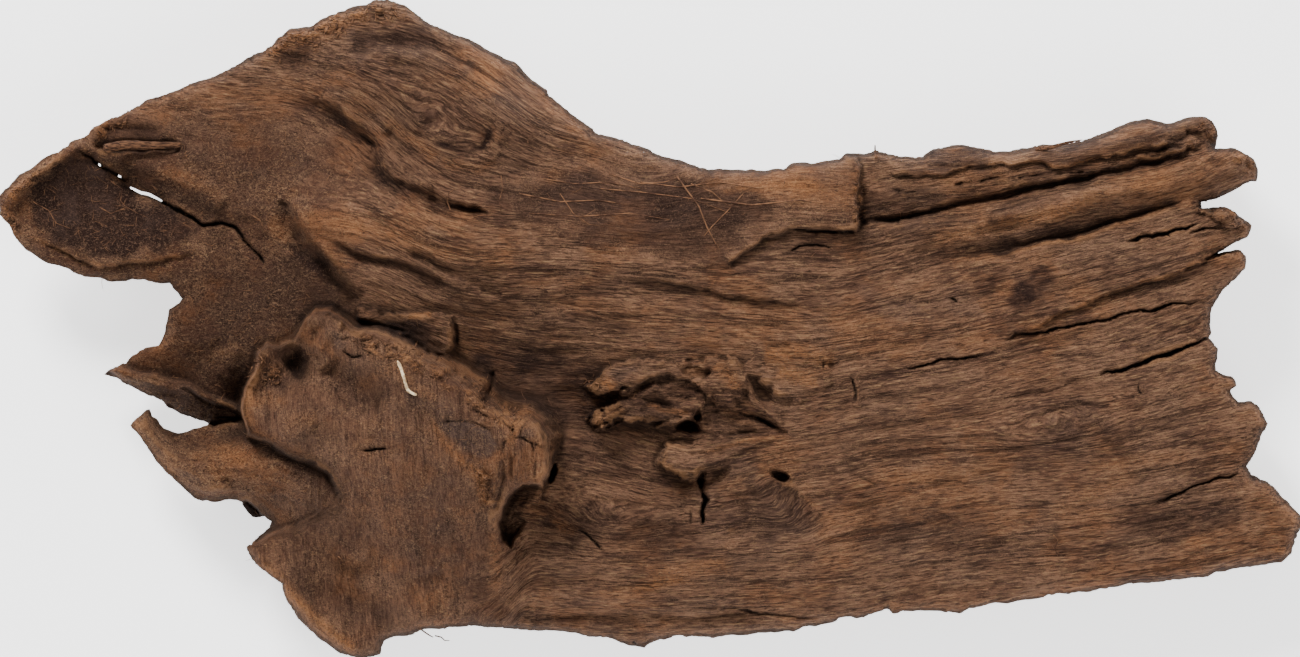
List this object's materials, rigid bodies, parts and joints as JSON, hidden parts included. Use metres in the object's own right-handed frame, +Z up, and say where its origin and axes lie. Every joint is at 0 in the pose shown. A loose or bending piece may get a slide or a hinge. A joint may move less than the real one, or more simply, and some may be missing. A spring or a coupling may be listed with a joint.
{
  "type": "driftwood",
  "caption": "Flat, weathered piece of dark driftwood from the root end of a trunk, with a raised knob, a hooked root, long splits and a broken end, lying on its back",
  "frame": {"origin": "the centre of the bounding box on the surface the piece lies on", "axes": "+X along the piece from the forked root end to the broken end of the trunk, +Y across it towards the edge with the shoulder and the long splits, +Z up out of its broad weathered face"},
  "size_m": [0.4, 0.202, 0.0801],
  "materials": {
    "dark_wood": "dark, waterworn and then dried wood: matt, fibrous, open cracked grain with rubbed orange-brown edges"
  },
  "bodies": {
    "root": {"driftwood": "dark_wood"}
  },
  "joints": []
}
